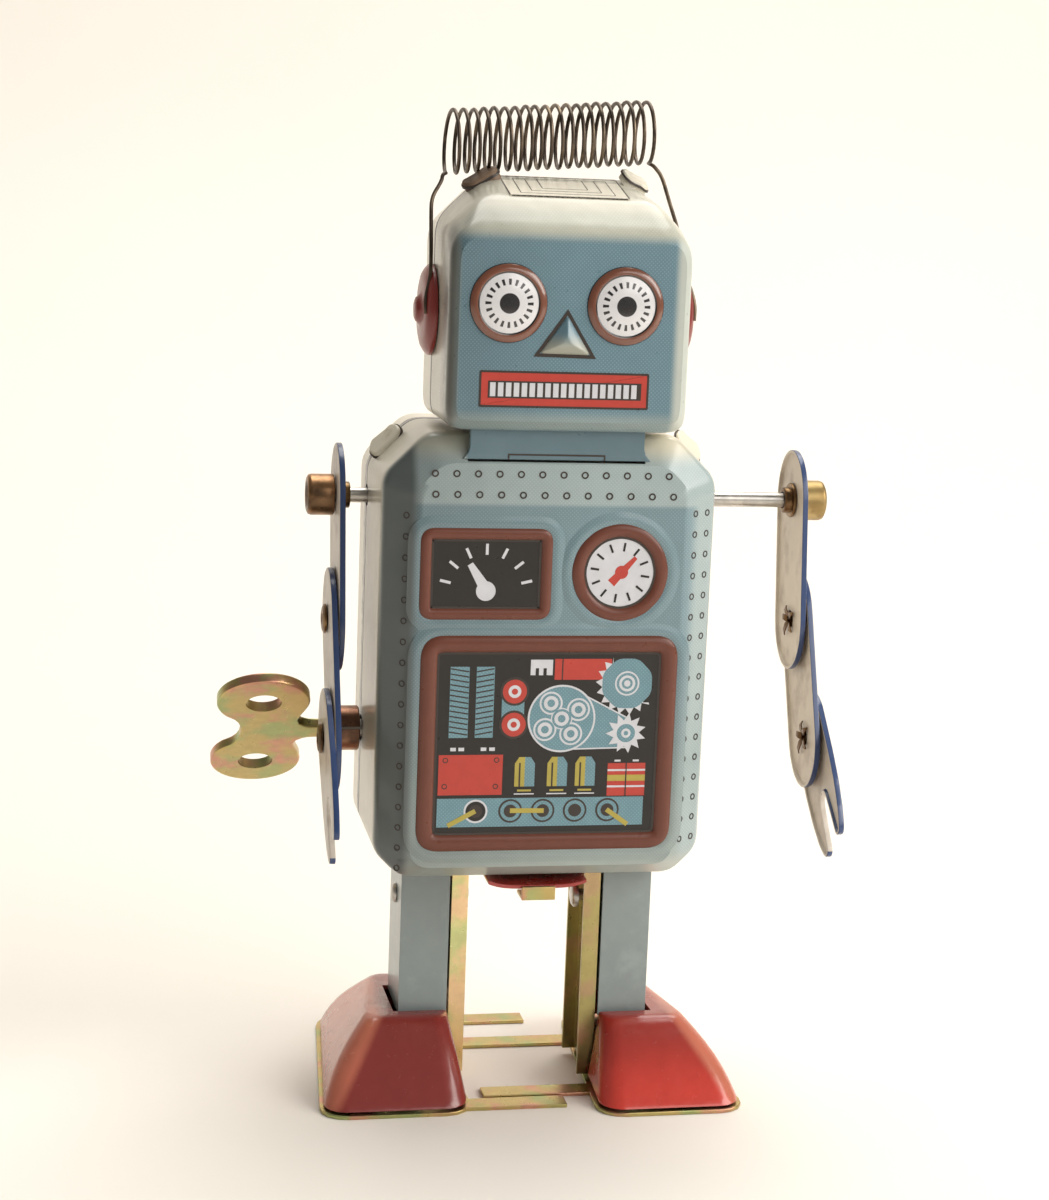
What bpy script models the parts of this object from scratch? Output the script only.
"""Tin wind-up walking robot: printed tin shells around a clockwork motor, cranked legs and jointed arms.

Lengths are in millimetres and turned into metres by MM. +Z is up and the robot faces -Y.
"Left" is the -X side, where the key is, and "right" is the +X side.
"""

import math

import bmesh
import bpy
from mathutils import Vector

MM = 0.001
SIDES = {"left": -1, "right": 1}
ORIGIN = Vector((-0.1, -1.65, 0.0))  # centre of the finished robot's footprint

# Shells
WALL = 0.5
GAP = 0.3
SEAM_Y = 3.5
BODY_HALF, BODY_LOW, BODY_HIGH = 21.5, 30.4, 88.0
BODY_FRONT, BODY_BACK = -15.0, 14.0
HEAD_SEAM_Y = -3.0
HEAD_X = 0.75  # the pressed head sits a little to the right of its printed face
HEAD_HALF, HEAD_LOW, HEAD_HIGH = 15.2, 88.6, 119.6
HEAD_FRONT, HEAD_BACK = -17.0, 7.5
NECK_HALF = 11.1

# Antenna
COIL_X, COIL_Y, COIL_Z, COIL_TILT = -0.3, -2.0, 124.6, 0.9
COIL_RADIUS, COIL_HALF, COIL_TURNS, WIRE = 3.9, 13.9, 20, 0.32
LEAD_KNEE = {"left": 16.3, "right": 14.8}  # where each lead turns down, from the head's middle

# Arms
SHOULDER_Z = 77.8
ROD_RADIUS = 1.0
ARM_HALF_WIDTH, ARM_END, ARM_LINK, HAND_LENGTH = 5.8, 6.8, 16.2, 17.0
ARM_BASE_X = {"left": 24.9, "right": 36.3}
ARM_ANGLES = {"left": (11.0, 29.0, 48.0), "right": (7.0, 22.0, 47.0)}  # degrees forward of hanging
DISH_DEPTH, DISH_STEP, DISH_FLOOR, DISH_RIM = 0.8, 1.0, 0.45, 0.45
CAP_RADIUS, CAP_LENGTH = 2.7, 3.5

# Clockwork: gear radii are teeth times module over two
MODULE = 0.5
GREAT_TEETH, SECOND_TEETH, CRANK_TEETH, PINION_TEETH, STAR_PINION_TEETH = 32, 24, 24, 8, 6
KEY_AXIS = Vector((0, SEAM_Y, 46.5))
CRANK_AXIS = Vector((0, -1.0, 36.0))
CRANK_RADIUS = 1.25
PLATE_IN, PLATE_OUT = 6.1, 6.9
GUIDE_STUD_Z = 52.0

# Key
KEY_LEAN = 50.0  # degrees from upright, upper lobe forward
KEY_THICK, LOBE_RADIUS, LOBE_SPREAD, LOBE_X, KEY_HOLE = 1.4, 6.0, 8.5, 35.0, 2.3

# Legs and feet, at their mean places; each side shifts by the crank radius
LEG_INNER, LEG_WEB, LEG_OUTER, LEG_DEPTH = 7.6, 9.8, 16.6, 10.0
FOOT_IN, FOOT_OUT, FOOT_FRONT, FOOT_BACK, FOOT_TOP = 8.3, 27.6, -18.45, 17.05, 10.0
HEEL_DROP = 0.8  # how much lower the top of the foot is at the heel
SOLE, SOLE_LIP, SOLE_CORNER = 0.5, 0.45, 3.8
TAPER_IN, TAPER_OUT = 2.0, 3.0  # how far each side of a foot comes in at the heel
TAB_END = {"left": 4.5, "right": 6.0}
TABS = {"left": (-14.75, 16.0), "right": (-11.05, 7.0)}
TAB_HALF = 1.55
RIVET_Z = 24.5

# Finish: base colour, roughness, metallic
FINISHES = {
    "printed_blue": ((0.20, 0.36, 0.46), 0.35, 0.0),
    "cream_tin": ((0.80, 0.74, 0.62), 0.35, 0.0),
    "arm_tin": ((0.72, 0.68, 0.62), 0.35, 0.2),
    "red_tin": ((0.55, 0.07, 0.05), 0.3, 0.0),
    "leg_blue": ((0.22, 0.33, 0.38), 0.35, 0.0),
    "zinc_yellow": ((0.66, 0.52, 0.22), 0.3, 1.0),
    "steel": ((0.45, 0.44, 0.42), 0.3, 1.0),
    "brass": ((0.62, 0.44, 0.22), 0.3, 1.0),
}


def polar(radius, degrees):
    angle = math.radians(degrees)
    return Vector((0, radius * math.cos(angle), radius * math.sin(angle)))


def bearing(start, end):
    """Direction from one X-parallel axis to another, in degrees from +Y towards +Z."""
    return math.degrees(math.atan2(end.z - start.z, end.y - start.y))


def pitch_radius(teeth):
    return teeth * MODULE / 2


def meeting_axis(first, second, first_reach, second_reach):
    """The axis that lies at the given distances from two others, on the robot's front side."""
    span = (second - first).length
    along = (first_reach**2 - second_reach**2 + span**2) / (2 * span)
    aside = math.sqrt(first_reach**2 - along**2)
    direction = (second - first) / span
    return first + direction * along + Vector((0, direction.z, -direction.y)) * aside


SECOND_AXIS = meeting_axis(
    KEY_AXIS,
    CRANK_AXIS,
    pitch_radius(GREAT_TEETH + PINION_TEETH),
    pitch_radius(SECOND_TEETH + PINION_TEETH),
)
STAR_AXIS = CRANK_AXIS + polar(pitch_radius(CRANK_TEETH + STAR_PINION_TEETH), 188)
VERGE_AXIS = STAR_AXIS + Vector((0, 0, 5.2))
CLICK_AXIS = KEY_AXIS + polar(4.2, 100)


def leg_shift(side):
    return Vector((0, -SIDES[side] * CRANK_RADIUS, 0))


def arm_points(side):
    """Shoulder, elbow, wrist and hand tip."""
    points = [Vector((0, SEAM_Y, SHOULDER_Z))]
    for length, degrees in zip((ARM_LINK, ARM_LINK, HAND_LENGTH), ARM_ANGLES[side]):
        points.append(points[-1] + polar(length, 270 - degrees))
    return points


# Each moving body's parent and the point on its joint axis
BODIES = {
    "frame": (None, Vector((0, 0, 0))),
    "key": ("frame", KEY_AXIS),
    "great": ("frame", KEY_AXIS),
    "click": ("great", CLICK_AXIS),
    "second": ("frame", SECOND_AXIS),
    "crank": ("frame", CRANK_AXIS),
    "star": ("frame", STAR_AXIS),
    "verge": ("frame", VERGE_AXIS),
}
for arm_side in SIDES:
    shoulder, elbow, wrist, _ = arm_points(arm_side)
    BODIES[f"{arm_side}_leg"] = ("crank", CRANK_AXIS + leg_shift(arm_side))
    BODIES[f"{arm_side}_upper"] = ("frame", shoulder)
    BODIES[f"{arm_side}_fore"] = (f"{arm_side}_upper", elbow)
    BODIES[f"{arm_side}_hand"] = (f"{arm_side}_fore", wrist)


# ---------------------------------------------------------------- building tools


def clear_scene():
    for obj in list(bpy.data.objects):
        bpy.data.objects.remove(obj, do_unlink=True)


def make_materials():
    for name, (colour, roughness, metallic) in FINISHES.items():
        material = bpy.data.materials.new(name)
        material.use_nodes = True
        shader = material.node_tree.nodes["Principled BSDF"]
        shader.inputs["Base Color"].default_value = (*colour, 1)
        shader.inputs["Roughness"].default_value = roughness
        shader.inputs["Metallic"].default_value = metallic


def make_empties():
    """One empty on each joint axis, parented as the bodies are."""
    for name, (parent, pivot) in BODIES.items():
        empty = bpy.data.objects.new(f"body_{name}", None)
        bpy.context.scene.collection.objects.link(empty)
        if parent:
            empty.parent = bpy.data.objects[f"body_{parent}"]
            empty.location = (pivot - BODIES[parent][1]) * MM
        else:
            empty.location = -ORIGIN * MM


def add(name, solid, finish, body):
    points, faces = solid
    pivot = BODIES[body][1]
    mesh = bpy.data.meshes.new(name)
    mesh.from_pydata([(Vector(p) - pivot) * MM for p in points], [], faces)
    shape = bmesh.new()
    shape.from_mesh(mesh)
    bmesh.ops.recalc_face_normals(shape, faces=shape.faces)
    shape.to_mesh(mesh)
    shape.free()
    mesh.materials.append(bpy.data.materials[finish])
    mesh.shade_smooth()
    mesh.set_sharp_from_angle(angle=math.radians(35))
    obj = bpy.data.objects.new(name, mesh)
    obj.parent = bpy.data.objects[f"body_{body}"]
    bpy.context.scene.collection.objects.link(obj)
    return obj


def combine(obj, solids, operation, body):
    """A Boolean with one helper that holds several solids, which stay clear of each other."""
    points, faces = [], []
    for more_points, more_faces in solids:
        faces += [tuple(i + len(points) for i in face) for face in more_faces]
        points += more_points
    helper = add(f"{obj.name}_{operation.lower()}", (points, faces), "steel", body)
    helper.hide_render = True
    helper.display_type = "WIRE"
    modifier = obj.modifiers.new(operation.title(), "BOOLEAN")
    modifier.operation = operation
    modifier.object = helper
    modifier.solver = "EXACT"


def cut(obj, solids, body="frame"):
    combine(obj, solids, "DIFFERENCE", body)


def join(obj, solids, body="frame"):
    combine(obj, solids, "UNION", body)


def placed(pair, level, axis):
    a, b = pair
    return Vector({"X": (level, a, b), "Y": (a, level, b), "Z": (a, b, level)}[axis])


def loft(rings, wrap=False):
    """Skin over rings of equal point count. The end rings are capped, or joined when it wraps."""
    count = len(rings[0])
    points = [point for ring in rings for point in ring]
    faces = []
    for k in range(len(rings) if wrap else len(rings) - 1):
        a, b = k * count, (k + 1) % len(rings) * count
        for i in range(count):
            j = (i + 1) % count
            faces.append((a + i, a + j, b + j, b + i))
    if not wrap:
        faces.append(tuple(range(count)))
        faces.append(tuple(range(len(points) - count, len(points))))
    return points, faces


def prism(outline, low, high, axis):
    return loft([[placed(pair, level, axis) for pair in outline] for level in (low, high)])


def box(low, high):
    outline = [(low[0], low[1]), (high[0], low[1]), (high[0], high[1]), (low[0], high[1])]
    return prism(outline, low[2], high[2], "Z")


def circle(radius, centre=(0, 0), sides=16, phase=0.0):
    angles = [phase + math.tau * i / sides for i in range(sides)]
    return [(centre[0] + radius * math.cos(a), centre[1] + radius * math.sin(a)) for a in angles]


def rod(radius, low, high, centre, sides=16):
    """A bar along X on the given axis."""
    return prism(circle(radius, (centre.y, centre.z), sides), low, high, "X")


def turned(profile, centre, axis="X", sides=16):
    """A solid of revolution. The profile is (along, radius), closed or ending on the axis."""
    points, faces, rings = [], [], []
    for along, radius in profile:
        ring = []
        for pair in circle(radius, sides=sides if radius else 1):
            ring.append(len(points))
            points.append(centre + placed(pair, along, axis))
        rings.append(ring)
    pairs = list(zip(rings, rings[1:]))
    if profile[0][1]:
        pairs.append((rings[-1], rings[0]))
    for a, b in pairs:
        for i in range(sides):
            j = (i + 1) % sides
            corners = [a[i % len(a)], a[j % len(a)], b[j % len(b)], b[i % len(b)]]
            corners = tuple(dict.fromkeys(corners))
            if len(corners) > 2:
                faces.append(corners)
    return points, faces


def inset(outline, distance):
    """The outline moved inwards by the same distance along every edge."""
    count = len(outline)
    area = sum(
        outline[i][0] * outline[(i + 1) % count][1] - outline[(i + 1) % count][0] * outline[i][1]
        for i in range(count)
    )
    turn = 1 if area > 0 else -1
    moved = []
    for i in range(count):
        before, here, after = (Vector(outline[k % count]) for k in (i - 1, i, i + 1))
        arriving = (here - before).normalized()
        leaving = (after - here).normalized()
        first = Vector((-arriving.y, arriving.x)) * turn
        second = Vector((-leaving.y, leaving.x)) * turn
        shift = (first + second) * (distance / (1 + first.dot(second)))
        moved.append(tuple(here + shift))
    return moved


def turn_about(points, centre, degrees):
    """Points turned about an X-parallel axis, from +Y towards +Z."""
    c, s = math.cos(math.radians(degrees)), math.sin(math.radians(degrees))
    turned_points = []
    for p in points:
        y, z = p[1] - centre.y, p[2] - centre.z
        turned_points.append(Vector((p[0], centre.y + c * y - s * z, centre.z + s * y + c * z)))
    return turned_points


# ---------------------------------------------------------------- shells


def panel(half_width, low, high, top_cut, low_cut):
    """A front-view outline: a rectangle with its four corners cut."""
    right = [
        (half_width - low_cut, low),
        (half_width, low + low_cut),
        (half_width, high - top_cut),
        (half_width - top_cut, high),
    ]
    return right + [(-x, z) for x, z in reversed(right)]


def shell(levels):
    """A pressed cup. Levels are (y, outline), from the closed face to the open rim."""
    inward = 1 if levels[-1][0] > levels[0][0] else -1
    outer = [[placed(pair, y, "Y") for pair in outline] for y, outline in levels]
    inner = []
    for index, (y, outline) in enumerate(levels):
        share = (1.0, 0.6, 0.0)[min(index, 2)] if index < len(levels) - 1 else 0.0
        depth = y + inward * WALL * share
        inner.append([placed(pair, depth, "Y") for pair in inset(outline, WALL)])
    return loft(outer + inner[::-1])


def make_body():
    full = panel(BODY_HALF, BODY_LOW, BODY_HIGH, 5.5, 3.5)
    front = add(
        "front_shell",
        shell(
            [
                (BODY_FRONT, panel(17.2, 32.5, 84.4, 3.0, 1.5)),
                (-12.0, full),
                (SEAM_Y - GAP / 2, full),
            ]
        ),
        "printed_blue",
        "frame",
    )
    back = add(
        "back_shell",
        shell(
            [
                (BODY_BACK, panel(17.5, 35.0, 84.0, 3.5, 2.5)),
                (11.0, full),
                (SEAM_Y + GAP / 2, full),
            ]
        ),
        "cream_tin",
        "frame",
    )
    rod_hole = rod(ROD_RADIUS + 0.3, -23, 23, Vector((0, SEAM_Y, SHOULDER_Z)))
    key_hole = rod(1.8, -23, -19, KEY_AXIS)
    underside = box((-17.6, -10.4, 29), (17.6, 9.5, 33))
    neck_notch = box((-NECK_HALF - GAP, -16, 84.5), (NECK_HALF + GAP, -13.7, 89))
    cut(front, [rod_hole, key_hole, underside, neck_notch])
    cut(back, [rod_hole, key_hole, underside])


def head_panel(*sizes):
    return [(HEAD_X + x, z) for x, z in panel(*sizes)]


def make_head():
    rim = head_panel(HEAD_HALF, HEAD_LOW, HEAD_HIGH, 5.7, 1.2)
    front = add(
        "head_front",
        shell(
            [
                (HEAD_FRONT, head_panel(14.1, 89.9, 112.1, 1.5, 0.8)),
                (-15.8, head_panel(HEAD_HALF, HEAD_LOW, 113.7, 2.4, 1.2)),
                (-12.0, head_panel(HEAD_HALF, HEAD_LOW, 117.2, 4.2, 1.2)),
                (HEAD_SEAM_Y - GAP / 2, rim),
            ]
        ),
        "printed_blue",
        "frame",
    )
    add(
        "head_back",
        shell(
            [
                (HEAD_BACK, head_panel(12.1, 91.5, 114.5, 3.0, 1.2)),
                (4.6, head_panel(HEAD_HALF, HEAD_LOW, 118.2, 5.2, 1.2)),
                (HEAD_SEAM_Y + GAP / 2, rim),
            ]
        ),
        "cream_tin",
        "frame",
    )
    neck = box((-NECK_HALF, -14.8, 84.9), (NECK_HALF, -14.2, HEAD_LOW + 0.4))
    eyes = [
        turned(
            [(0.3, 0), (0.3, 4.6), (-0.3, 4.2), (-0.7, 2.2), (-0.8, 0)],
            Vector((x, HEAD_FRONT, 104.1)),
            "Y",
        )
        for x in (-7.24, 7.24)
    ]
    nose_base = [(-3.2, 98.0), (3.2, 98.0), (0.0, 103.2)]
    nose_ridge = [(-0.5, 98.6), (0.5, 98.6), (0.0, 101.0)]
    nose = loft(
        [
            [placed(p, HEAD_FRONT + 0.3, "Y") for p in nose_base],
            [placed(p, HEAD_FRONT - 0.9, "Y") for p in nose_ridge],
        ]
    )
    join(front, [neck, nose, *eyes])


def make_ears_and_antenna():
    for side, sign in SIDES.items():
        start = HEAD_HALF + GAP
        profile = [(0, 0), (0, 5.8), (0.5, 5.8), (1.3, 4.6), (1.5, 2.0), (2.1, 1.4), (2.2, 0)]
        add(
            f"{side}_ear",
            turned(
                [(sign * (start + along), radius) for along, radius in profile],
                Vector((HEAD_X, -2.6, 102.5)),
                sides=20,
            ),
            "red_tin",
            "frame",
        )
        end_z = COIL_Z + sign * COIL_TILT - COIL_RADIUS + 0.2
        coil_end = Vector((COIL_X + sign * (COIL_HALF + 0.75), COIL_Y, end_z))
        route = [
            coil_end,
            coil_end + Vector((sign * 0.9, -0.2, -1.0)),
            Vector((HEAD_X + sign * LEAD_KNEE[side], -3.6, 116.4)),
            Vector((HEAD_X + sign * (HEAD_HALF + 0.9), -4.4, 113.0)),
            Vector((HEAD_X + sign * (HEAD_HALF + 0.8), -4.4, 108.7)),
        ]
        add(f"{side}_antenna_lead", tube(route, WIRE, 6), "steel", "frame")
    add("antenna_coil", tube(coil_route(), WIRE, 4), "steel", "frame")


def coil_route(steps=6):
    route = []
    for i in range(COIL_TURNS * steps + 1):
        angle = math.tau * i / steps - math.pi / 2
        share = 2 * i / (COIL_TURNS * steps) - 1
        x = COIL_X + COIL_HALF * share
        y = COIL_Y + COIL_RADIUS * math.cos(angle)
        z = COIL_Z + COIL_TILT * share + COIL_RADIUS * math.sin(angle)
        route.append(Vector((x, y, z)))
    return route


def tube(route, radius, sides):
    """A wire along the route, with flat ends."""
    rings = []
    for i, point in enumerate(route):
        ahead = route[min(i + 1, len(route) - 1)] - route[max(i - 1, 0)]
        ahead.normalize()
        across = ahead.cross(Vector((0.02, 1, 0.01))).normalized()
        if abs(ahead.x) < 0.9:
            across = ahead.cross(Vector((1, 0, 0))).normalized()
        other = ahead.cross(across)
        rings.append([point + across * a + other * b for a, b in circle(radius, sides=sides)])
    return loft(rings)


# ---------------------------------------------------------------- arms


def link_outline(length):
    """A bar with round ends, along +U from its pivot."""
    ends = [(0, 90), (length, -90)]
    points = []
    for centre, first in ends:
        for step in range(9):
            angle = math.radians(first + 180 * step / 8)
            points.append(
                (centre + ARM_END * math.cos(angle), ARM_HALF_WIDTH * math.sin(angle))
            )
    return points


def hand_outline():
    """A round wrist end and two pointed prongs with a slot between them."""
    half = [
        (6.1, ARM_HALF_WIDTH),
        (10.4, 5.5),
        (14.2, 4.6),
        (HAND_LENGTH - 0.4, 3.4),
        (HAND_LENGTH, 2.9),
        (HAND_LENGTH - 0.3, 2.3),
        (12.8, 2.0),
        (9.9, 1.5),
        (9.0, 0.8),
    ]
    wrist = [
        (ARM_END * math.cos(math.radians(a)), ARM_HALF_WIDTH * math.sin(math.radians(a)))
        for a in range(90, 271, 20)
    ]
    return wrist + [(u, -v) for u, v in half] + list(reversed(half))


def dish(outline, side, pivot, degrees, layer):
    """A flat plate whose rim is turned towards the body."""
    sign = SIDES[side]
    inner_x = ARM_BASE_X[side] + layer * DISH_STEP
    outer_x = inner_x + DISH_DEPTH
    hollow = inset(outline, DISH_RIM)
    levels = [
        (outline, outer_x),
        (outline, inner_x),
        (hollow, inner_x),
        (hollow, outer_x - DISH_FLOOR),
    ]
    rings = []
    for shape, x in levels:
        flat = [Vector((sign * x, pivot.y + u, pivot.z + v)) for u, v in shape]
        rings.append(turn_about(flat, pivot, 270 - degrees))
    return loft(rings)


def eyelet(side, pivot, splay_x, head_x):
    """A hollow rivet: a rolled head outside, a tube, and a splayed end inside."""
    profile = [
        (splay_x, 0.55),
        (splay_x, 1.9),
        (splay_x + 0.3, 1.9),
        (splay_x + 0.35, 1.0),
        (head_x, 1.0),
        (head_x, 2.0),
        (head_x + 0.45, 1.7),
        (head_x + 0.6, 1.0),
        (head_x + 0.3, 0.55),
    ]
    profile = [(SIDES[side] * x, radius) for x, radius in profile]
    return turned(profile, Vector((0, pivot.y, pivot.z)), sides=12)


def make_arms():
    for side, sign in SIDES.items():
        shoulder, elbow, wrist, _ = arm_points(side)
        upper, fore, hand = ARM_ANGLES[side]
        base = ARM_BASE_X[side]
        pieces = [
            ("upper_arm", "upper", link_outline(ARM_LINK), shoulder, upper, (shoulder, elbow)),
            ("forearm", "fore", link_outline(ARM_LINK), elbow, fore, (elbow, wrist)),
            ("hand", "hand", hand_outline(), wrist, hand, (wrist,)),
        ]
        for layer, (name, body, outline, pivot, degrees, holes) in enumerate(pieces):
            body = f"{side}_{body}"
            solid = dish(outline, side, pivot, degrees, layer)
            plate = add(f"{side}_{name}", solid, "arm_tin", body)
            ends = sorted((sign * (base - 2), sign * (base + 6)))
            cut(plate, [rod(1.25, *ends, hole) for hole in holes], body)
        for name, body, pivot, layer in (("elbow", "fore", elbow, 0), ("wrist", "hand", wrist, 1)):
            inner_floor = base + layer * DISH_STEP + DISH_DEPTH - DISH_FLOOR
            outer_face = base + (layer + 1) * DISH_STEP + DISH_DEPTH
            rivet = eyelet(side, pivot, inner_floor - 0.45, outer_face + 0.1)
            add(f"{side}_{name}_rivet", rivet, "brass", f"{side}_{body}")
        cap_x = base + DISH_STEP
        bore = ROD_RADIUS + 0.15
        cap = [
            (cap_x, bore),
            (cap_x, CAP_RADIUS),
            (cap_x + CAP_LENGTH - 0.5, CAP_RADIUS),
            (cap_x + CAP_LENGTH, CAP_RADIUS - 0.5),
            (cap_x + CAP_LENGTH, 0),
        ]
        blind = [(cap_x + CAP_LENGTH - 0.7, 0), (cap_x + CAP_LENGTH - 0.7, bore)]
        profile = [(sign * x, radius) for x, radius in blind + cap]
        add(f"{side}_rod_cap", turned(profile, shoulder, sides=20), "brass", "frame")
        collar = [(-1.1, bore), (-1.1, 1.7), (-0.2, 1.7), (-0.2, 2.3), (0.2, 2.3), (0.2, bore)]
        profile = [(sign * (base + x), radius) for x, radius in collar]
        add(f"{side}_shoulder_eyelet", turned(profile, shoulder, sides=14), "brass", f"{side}_upper")
    reach = {side: ARM_BASE_X[side] + DISH_STEP + CAP_LENGTH - 1.0 for side in SIDES}
    shaft = rod(ROD_RADIUS, -reach["left"], reach["right"], Vector((0, SEAM_Y, SHOULDER_Z)))
    add("shoulder_rod", shaft, "steel", "frame")


# ---------------------------------------------------------------- clockwork


def toothed(teeth, phase):
    """A gear outline with tapered teeth, one of them pointing at phase degrees."""
    radius = pitch_radius(teeth)
    pitch = 360 / teeth
    root, tip = radius - 1.2 * MODULE, radius + 0.65 * MODULE
    corners = ((-0.24, root), (-0.1, tip), (0.1, tip), (0.24, root))
    outline = []
    for tooth in range(teeth):
        for share, reach in corners:
            spot = polar(reach, phase + (tooth + share) * pitch)
            outline.append((spot.y, spot.z))
    return outline


def around(axis, outline, x):
    return [Vector((x, axis.y + y, axis.z + z)) for y, z in outline]


def matching_circle(radius, teeth, phase):
    """A circle with as many points as a gear outline, starting beside it."""
    count = 4 * teeth
    start = math.radians(phase - 0.24 * 360 / teeth)
    return circle(radius, sides=count, phase=start)


def gear(axis, teeth, phase, low, high, bore):
    rim, hole = toothed(teeth, phase), matching_circle(bore, teeth, phase)
    rings = [
        around(axis, rim, low),
        around(axis, rim, high),
        around(axis, hole, high),
        around(axis, hole, low),
    ]
    return loft(rings, wrap=True)


def pinion_arbor(axis, teeth, phase, steps, low, high):
    """A stepped arbor with its pinion between low and high. Steps are (x, radius)."""
    rings = [
        around(axis, matching_circle(radius, teeth, phase), x) for x, radius in steps if x <= low
    ]
    rings += [around(axis, toothed(teeth, phase), x) for x in (low, high)]
    rings += [
        around(axis, matching_circle(radius, teeth, phase), x) for x, radius in steps if x >= high
    ]
    return loft(rings)


def facing_phase(axis, other, teeth):
    """The tooth phase that turns a gap towards the other axis."""
    return bearing(axis, other) + 180 / teeth


def make_train():
    add(
        "great_wheel",
        gear(KEY_AXIS, GREAT_TEETH, bearing(KEY_AXIS, SECOND_AXIS), -4.6, -3.8, 1.4),
        "brass",
        "great",
    )
    pivots = ((-6.7, 0.45), (-5.85, 0.45), (-5.85, 0.7))
    phase = facing_phase(SECOND_AXIS, KEY_AXIS, PINION_TEETH)
    steps = (*pivots, (-4.9, 0.7), (-3.5, 0.7), (5.85, 0.7), (5.85, 0.45), (6.7, 0.45))
    arbor = pinion_arbor(SECOND_AXIS, PINION_TEETH, phase, steps, -4.9, -3.5)
    add("second_arbor", arbor, "steel", "second")
    add(
        "second_wheel",
        gear(SECOND_AXIS, SECOND_TEETH, bearing(SECOND_AXIS, CRANK_AXIS), 3.4, 4.2, 0.8),
        "brass",
        "second",
    )
    phase = facing_phase(CRANK_AXIS, SECOND_AXIS, PINION_TEETH)
    steps = ((-8.0, 0.9), (3.1, 0.9), (4.5, 0.9), (8.0, 0.9))
    axle = pinion_arbor(CRANK_AXIS, PINION_TEETH, phase, steps, 3.1, 4.5)
    add("crank_axle", axle, "steel", "crank")
    add(
        "crank_wheel",
        gear(CRANK_AXIS, CRANK_TEETH, bearing(CRANK_AXIS, STAR_AXIS), -5.6, -4.9, 1.0),
        "brass",
        "crank",
    )
    phase = facing_phase(STAR_AXIS, CRANK_AXIS, STAR_PINION_TEETH)
    steps = ((-6.7, 0.4), (-5.85, 0.4), (-5.75, 0.4), (-4.7, 0.5), (5.85, 0.5), (5.85, 0.4), (6.7, 0.4))
    arbor = pinion_arbor(STAR_AXIS, STAR_PINION_TEETH, phase, steps, -5.75, -4.7)
    add("star_arbor", arbor, "steel", "star")
    for side, sign in SIDES.items():
        disc = [(8.25, 0), (8.25, 1.05), (7.2, 1.05), (7.2, 2.6), (8.8, 2.6), (8.8, 0)]
        disc = turned([(sign * x, radius) for x, radius in disc], CRANK_AXIS)
        crank = add(f"{side}_crank", disc, "steel", "crank")
        ends = sorted((sign * 8.5, sign * 11.2))
        pin = rod(0.6, *ends, CRANK_AXIS + leg_shift(side), 10)
        join(crank, [pin], "crank")


def make_escapement():
    tips = 12
    points = []
    for i in range(tips):
        for share, reach in ((0.0, 2.3), (0.45, 3.2), (0.6, 3.1)):
            spot = polar(reach, (i + share) * 360 / tips)
            points.append((spot.y, spot.z))
    hole = circle(0.62, sides=len(points))
    rings = [
        around(STAR_AXIS, points, -3.0),
        around(STAR_AXIS, points, -2.4),
        around(STAR_AXIS, hole, -2.4),
        around(STAR_AXIS, hole, -3.0),
    ]
    add("star_wheel", loft(rings, wrap=True), "brass", "star")
    anchor = [
        (-5.2, -4.6),
        (-4.5, -4.4),
        (-4.3, -1.0),
        (0.0, -0.9),
        (4.3, -1.0),
        (4.5, -4.4),
        (5.2, -4.6),
        (5.2, -0.4),
        (1.2, 0.9),
        (-1.2, 0.9),
        (-5.2, -0.4),
    ]
    anchor = loft([around(VERGE_AXIS, anchor, x) for x in (-3.0, -2.4)])
    verge = add("verge", anchor, "steel", "verge")
    join(verge, [rod(0.45, -6.7, -2.7, VERGE_AXIS, 12)], "verge")


def make_spring_and_winding():
    turns, steps, first, last, strip = 4.5, 14, 1.9, 6.7, 0.3
    inner, outer = [], []
    for i in range(int(turns * steps) + 1):
        share = i / (turns * steps)
        angle = math.degrees(math.tau * turns * share) + 60
        for side, reach in ((inner, 0), (outer, strip)):
            spot = polar(first + (last - first) * share + reach, angle)
            side.append((KEY_AXIS.y + spot.y, KEY_AXIS.z + spot.z))
    add("mainspring", prism(inner + outer[::-1], -2.8, 2.6, "X"), "steel", "frame")
    add("winding_arbor", rod(1.2, -27.0, 7.0, KEY_AXIS, 12), "steel", "key")
    teeth = 12
    points = []
    for i in range(teeth):
        for share, reach in ((0.0, 2.0), (0.9, 2.6)):
            spot = polar(reach, (i + share) * 360 / teeth)
            points.append((spot.y, spot.z))
    hole = circle(1.4, sides=len(points))
    rings = [
        around(KEY_AXIS, points, -5.6),
        around(KEY_AXIS, points, -4.9),
        around(KEY_AXIS, hole, -4.9),
        around(KEY_AXIS, hole, -5.6),
    ]
    add("ratchet_wheel", loft(rings, wrap=True), "steel", "key")
    pawl = [(0.6, 0.4), (0.0, 0.75), (-0.8, 0.2), (-2.3, -2.0), (-2.15, -2.75)]
    pawl += [(-1.75, -2.7), (-0.9, -1.4), (0.1, -0.65), (0.6, -0.3)]
    click = add("click", loft([around(CLICK_AXIS, pawl, x) for x in (-5.6, -4.9)]), "steel", "click")
    join(click, [rod(0.35, -5.2, -3.6, CLICK_AXIS, 10)], "click")
    cut(bpy.data.objects["great_wheel"], [rod(0.5, -5, -3, CLICK_AXIS, 10)], "great")


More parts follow.
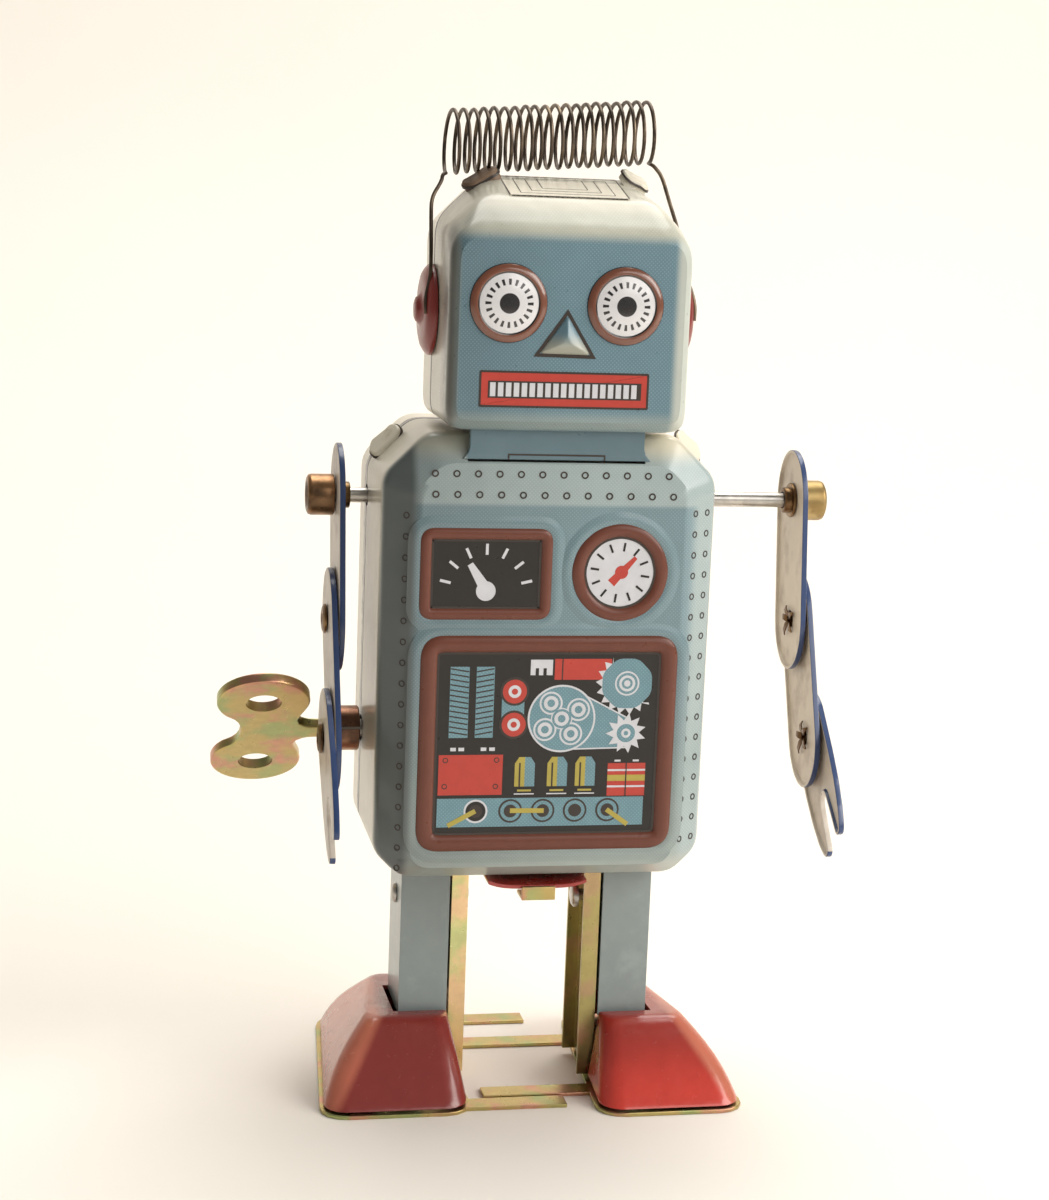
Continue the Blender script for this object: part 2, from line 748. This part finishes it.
def make_motor_plates():
    outline = [(-11.6, 31.4), (9.6, 31.4), (12.0, 37.0), (12.0, 50.0), (8.0, 58.4)]
    outline += [(-6.0, 58.4), (-11.9, 51.0)]
    pillars = (Vector((0, 8.0, 34.0)), Vector((0, -9.6, 49.8)), Vector((0, 5.0, 56.3)))
    for side, sign in SIDES.items():
        ends = sorted((sign * PLATE_IN, sign * PLATE_OUT))
        plate = add(f"{side}_motor_plate", prism(outline, *ends, "X"), "steel", "frame")
        stud_ends = sorted((sign * (PLATE_OUT - 0.4), sign * 10.9))
        join(plate, [rod(0.7, *stud_ends, Vector((0, CRANK_AXIS.y, GUIDE_STUD_Z)), 12)])
        holes = [
            (KEY_AXIS, 1.4),
            (CRANK_AXIS, 1.1),
            (SECOND_AXIS, 0.6),
            (STAR_AXIS, 0.55),
            *((pillar, 0.9) for pillar in pillars),
        ]
        if side == "left":
            holes.append((VERGE_AXIS, 0.6))
        through = sorted((sign * (PLATE_IN - 1), sign * (PLATE_OUT + 1)))
        cut(plate, [rod(radius, *through, axis, 12) for axis, radius in holes])
    for name, axis in zip(("lower", "front", "upper"), pillars):
        half = [(7.3, 0), (7.3, 0.7), (5.8, 0.7), (5.8, 1.3)]
        profile = half + [(-x, radius) for x, radius in reversed(half)]
        add(f"{name}_pillar", turned(profile, axis, sides=12), "brass", "frame")


def make_key():
    def tilt(points):
        return turn_about(points, KEY_AXIS, KEY_LEAN)

    faces_y = (KEY_AXIS.y - KEY_THICK / 2, KEY_AXIS.y + KEY_THICK / 2)

    def plate(outline, extra=0.0):
        points, faces = prism(outline, faces_y[0] - extra, faces_y[1] + extra, "Y")
        return tilt(points), faces

    neck = [
        (-28.4, 2.6),
        (-30.6, 4.4),
        (-32.0, 8.5),
        (-36.0, 10.5),
        (-39.6, 7.0),
        (-37.4, 3.0),
    ]
    outline = [(x, KEY_AXIS.z + z) for x, z in neck]
    outline += [(x, KEY_AXIS.z - z) for x, z in reversed(neck)]
    key = add("winding_key", plate(outline), "zinc_yellow", "key")
    for lobe in (-1, 1):
        centre = (-LOBE_X, KEY_AXIS.z + lobe * LOBE_SPREAD)
        join(key, [plate(circle(LOBE_RADIUS, centre, 24))], "key")
    barrel = [(-21.9, 1.9), (-21.9, 3.0), (-29.2, 3.0), (-29.2, 1.9)]
    join(key, [turned(barrel, KEY_AXIS, sides=18)], "key")
    holes = [
        plate(circle(KEY_HOLE, (-LOBE_X, KEY_AXIS.z + lobe * LOBE_SPREAD), 16), extra=1)
        for lobe in (-1, 1)
    ]
    cut(key, holes, "key")


# ---------------------------------------------------------------- legs and feet


def channel(side, web_x, edge_x, low_y, high_y, low, high):
    """An upright U of tin, its web at web_x and its open side at edge_x."""
    inner_web = web_x + math.copysign(WALL, edge_x - web_x)
    outline = [
        (edge_x, low_y),
        (web_x, low_y),
        (web_x, high_y),
        (edge_x, high_y),
        (edge_x, high_y - WALL),
        (inner_web, high_y - WALL),
        (inner_web, low_y + WALL),
        (edge_x, low_y + WALL),
    ]
    return prism([(SIDES[side] * x, y) for x, y in outline], low, high, "Z")


def tapered(x, y, across, along):
    """Narrows a foot's plan towards the heel. across and along are its sides' (low, high)."""
    outward = (x - across[0]) / (across[1] - across[0])
    back = (y - along[0]) / (along[1] - along[0])
    return x + back * (TAPER_IN * (1 - outward) - TAPER_OUT * outward)


def foot_ring(side, share, shrink=0.0):
    """The foot shell's outline at a share of its height, as a ring of points."""
    shift = leg_shift(side).y
    bulge = math.sin(math.pi * share)
    x_in, x_out = FOOT_IN + 1.6 * share + shrink, FOOT_OUT - 6.2 * share + 0.9 * bulge - shrink
    front = FOOT_FRONT + shift + 9.5 * share - 0.5 * bulge + shrink
    back = FOOT_BACK + shift - 6.6 * share + 0.8 * bulge - shrink
    radius = 3.4 - 0.8 * share - shrink
    low = SOLE + GAP
    ring = []
    corners = ((x_in, front, 180), (x_out, front, 270), (x_out, back, 0), (x_in, back, 90))
    for x, y, first in corners:
        centre_x = x + math.copysign(radius, (x_in + x_out) / 2 - x)
        centre_y = y + math.copysign(radius, (front + back) / 2 - y)
        for step in range(4):
            spot = polar(radius, first + 30 * step)
            place_x, place_y = centre_x + spot.y, centre_y + spot.z
            drop = HEEL_DROP * share * (place_y - front) / (back - front)
            height = low + (FOOT_TOP - low) * share - drop - shrink * (share == 1)
            place_x = tapered(place_x, place_y, (x_in, x_out), (front, back))
            ring.append(Vector((SIDES[side] * place_x, place_y, height)))
    return ring


def make_foot(side, leg_y, body):
    shares = (0, 0.35, 0.7, 0.93, 1)
    outer = [foot_ring(side, share) for share in shares]
    inner = [foot_ring(side, share, WALL) for share in shares]
    foot = add(f"{side}_foot_shell", loft(outer[::-1] + inner), "red_tin", body)
    low_y, high_y = leg_y - LEG_DEPTH / 2 - 0.7, leg_y + LEG_DEPTH / 2 + 0.7
    ends = sorted((SIDES[side] * 6.5, SIDES[side] * (LEG_OUTER + 0.7)))
    cut(foot, [box((ends[0], low_y, -1), (ends[1], high_y, 15))], body)

    shift = leg_shift(side).y
    front, back = FOOT_FRONT + shift - SOLE_LIP, FOOT_BACK + shift + SOLE_LIP
    x_in, x_out = FOOT_IN - SOLE_LIP, FOOT_OUT + SOLE_LIP
    outline = []
    for x, y, first in ((x_in, front, 180), (x_out, front, 270), (x_out, back, 0), (x_in, back, 90)):
        centre_x = x + math.copysign(SOLE_CORNER, (x_in + x_out) / 2 - x)
        centre_y = y + math.copysign(SOLE_CORNER, (front + back) / 2 - y)
        for step in range(5):
            spot = polar(SOLE_CORNER, first + 22.5 * step)
            place_x, place_y = centre_x + spot.y, centre_y + spot.z
            place_x = tapered(place_x, place_y, (x_in, x_out), (front, back))
            outline.append((SIDES[side] * place_x, place_y))
    sole = add(f"{side}_sole_plate", prism(outline, 0, SOLE, "Z"), "zinc_yellow", body)
    tabs = []
    for y in TABS[side]:
        ends = sorted((-SIDES[side] * TAB_END[side], SIDES[side] * 11))
        tabs.append(box((ends[0], y - TAB_HALF, 0), (ends[1], y + TAB_HALF, SOLE)))
    join(sole, tabs, body)


def make_legs():
    for side, sign in SIDES.items():
        body = f"{side}_leg"
        leg_y = CRANK_AXIS.y + leg_shift(side).y
        low_y, high_y = leg_y - LEG_DEPTH / 2, leg_y + LEG_DEPTH / 2
        pin = Vector((0, leg_y, CRANK_AXIS.z))
        rivet = Vector((0, leg_y, RIVET_Z))
        guide = Vector((0, leg_y, GUIDE_STUD_Z))
        lever = channel(side, LEG_WEB, LEG_INNER, low_y, high_y, SOLE + 0.4, 56)
        lever = add(f"{side}_leg_lever", lever, "zinc_yellow", body)
        through = sorted((sign * (LEG_WEB - 1.5), sign * (LEG_WEB + 1)))
        holes = [(pin, 0.9), (rivet, 0.95), (guide, 2.4)]
        openings = [rod(radius, *through, axis) for axis, radius in holes]
        if side == "left":
            # the winding arbor crosses this lever, so its back edge is notched round the arbor
            openings.append(box((-12, 1.9, KEY_AXIS.z - 2.9), (-7, 8, KEY_AXIS.z + 2.9)))
        cut(lever, openings, body)
        cover = channel(side, LEG_OUTER, LEG_WEB + GAP, low_y - 0.2, high_y + 0.2, 9.2, 34)
        cover = add(f"{side}_leg_cover", cover, "leg_blue", body)
        through = sorted((sign * (LEG_OUTER - 1.5), sign * (LEG_OUTER + 1)))
        cut(cover, [rod(0.95, *through, rivet)], body)
        profile = [(6.7, 0), (6.9, 1.3), (7.2, 1.65), (7.7, 1.65), (7.7, 0.8)]
        profile += [(LEG_OUTER + 0.15, 0.8), (LEG_OUTER + 0.15, 1.3), (LEG_OUTER + 0.5, 1.0)]
        profile += [(LEG_OUTER + 0.6, 0)]
        profile = [(sign * x, radius) for x, radius in profile]
        add(f"{side}_leg_rivet", turned(profile, rivet, sides=14), "steel", body)
        make_foot(side, leg_y, body)


def make_bottom_pan():
    """The motor's shallow red bottom, and the clip that holds its front edge."""
    half, lowest, rise = 6.5, 28.4, 1.1
    outer = [(half * k / 6, lowest + rise * abs(k / 6) ** 4) for k in range(-6, 7)]
    trough = outer + [(x, z + WALL) for x, z in reversed(outer)]
    add("bottom_pan", prism(trough, -13.2, 8.0, "Y"), "red_tin", "frame")
    clip = [(-14.0, 29.4), (-14.0, 27.6), (-10.5, 27.6), (-10.5, 28.05), (-13.55, 28.05), (-13.55, 29.4)]
    add("pan_clip", prism(clip, -2.2, 2.2, "X"), "zinc_yellow", "frame")


def main():
    clear_scene()
    make_materials()
    make_empties()
    make_body()
    make_head()
    make_ears_and_antenna()
    make_arms()
    make_train()
    make_escapement()
    make_spring_and_winding()
    make_motor_plates()
    make_key()
    make_legs()
    make_bottom_pan()


main()
